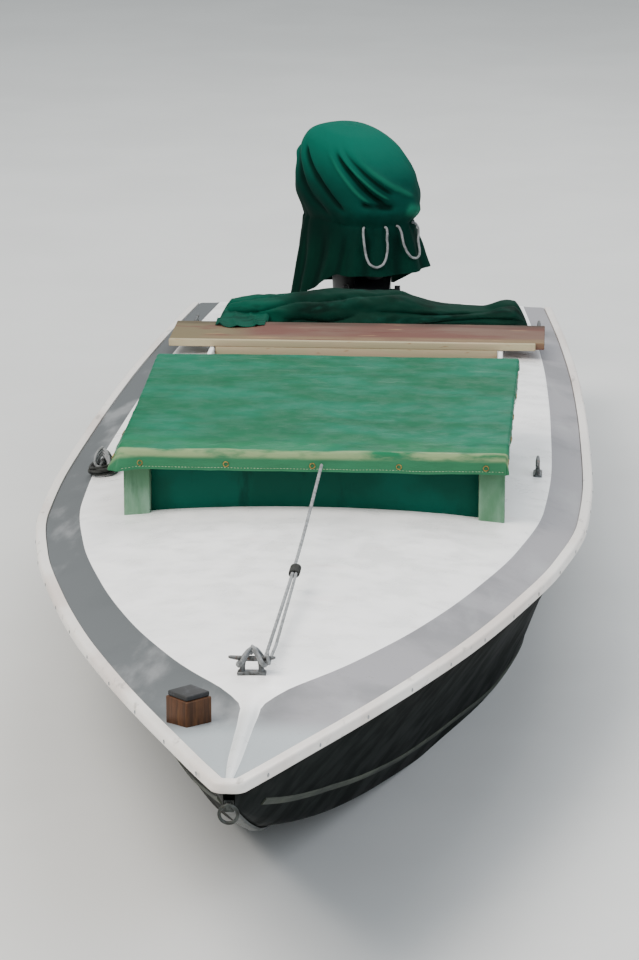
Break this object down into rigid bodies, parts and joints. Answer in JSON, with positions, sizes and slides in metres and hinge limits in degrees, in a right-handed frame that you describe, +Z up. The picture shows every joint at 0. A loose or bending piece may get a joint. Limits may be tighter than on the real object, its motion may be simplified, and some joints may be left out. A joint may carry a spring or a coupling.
{
  "type": "outboard motor launch",
  "caption": "Slender flat-bottomed open launch with a raked bow, white deck, dark hull, green tarpaulin cover and a bagged outboard motor that tilts and steers.",
  "frame": {"origin": "waterline on the centreline, half way along the hull", "axes": "+Z up, bow towards -Y, port side towards +X"},
  "size_m": [1.5886, 6.3483, 1.47],
  "materials": {
    "white_grp": "weathered white gel coat",
    "hull_grp": "near-black green gel coat, semi gloss",
    "rail_white": "white moulding, stained pink in places",
    "tarp_green": "coated green tarpaulin, weathered",
    "tarp_teal": "coated dark green cloth",
    "panel_green": "dark green painted plywood",
    "post_green": "pale green painted timber",
    "board_ply": "bare plywood",
    "floor_wood": "grey weathered boards",
    "red_wood": "faded red paint on timber",
    "cream_wood": "cream paint on timber",
    "brown_wood": "brown varnished block",
    "black_pad": "black rubber pad",
    "stem_metal": "dull grey metal band",
    "cleat_metal": "dark painted casting",
    "motor_metal": "dark painted aluminium casting",
    "cowl_plastic": "dark moulded cowl",
    "rope_grey": "grey laid rope"
  },
  "bodies": {
    "boat": {"aft_deck": "white_grp", "bench_apron": "cream_wood", "bench_board": "red_wood", "bow_block": "brown_wood", "bow_block_pad": "black_pad", "bow_cap": "rail_white", "cleat_bow": "cleat_metal", "cleat_quarter_port": "cleat_metal", "cleat_quarter_starboard": "cleat_metal", "cleat_side_port": "cleat_metal", "cleat_side_starboard": "cleat_metal", "coaming_aft": "white_grp", "coaming_port": "white_grp", "coaming_starboard": "white_grp", "cover_board": "board_ply", "cover_front_panel": "panel_green", "cover_post_port": "post_green", "cover_post_starboard": "post_green", "cover_side_panel_port": "panel_green", "cover_side_panel_starboard": "panel_green", "cover_tarpaulin": "tarp_green", "floor_boards": "floor_wood", "foredeck": "white_grp", "hull_shell": "hull_grp", "keel_batten": "hull_grp", "motor_clamp": "motor_metal", "rub_rail_port": "rail_white", "rub_rail_starboard": "rail_white", "side_deck_port": "white_grp", "side_deck_starboard": "white_grp", "stem_band": "stem_metal", "stem_eye": "stem_metal", "stern_tarpaulin": "tarp_teal", "tie_down_line": "rope_grey"},
    "swivel": {"motor_swivel": "motor_metal"},
    "head": {"bag_cord_fore": "rope_grey", "bag_cord_port": "rope_grey", "motor_bag": "tarp_teal", "motor_cowl": "cowl_plastic", "motor_gearcase": "motor_metal", "motor_leg": "motor_metal", "motor_pan": "cowl_plastic", "motor_plate": "motor_metal"},
    "propeller": {"motor_propeller": "motor_metal"}
  },
  "joints": [
    {"name": "motor_tilt", "type": "hinge", "parent": "boat", "child": "swivel", "pos_m": [0, 2.955, 0.441], "axis": [1, 0, 0], "range_deg": [0, 65]},
    {"name": "motor_steer", "type": "hinge", "parent": "swivel", "child": "head", "pos_m": [0, 3.065, 0.291], "axis": [0, 0, 1], "range_deg": [-80, 0]},
    {"name": "propeller_spin", "type": "hinge", "parent": "head", "child": "propeller", "pos_m": [-0.1803, 3.27988, -0.29], "axis": [-0.6428, 0.766, 0], "continuous": true}
  ]
}
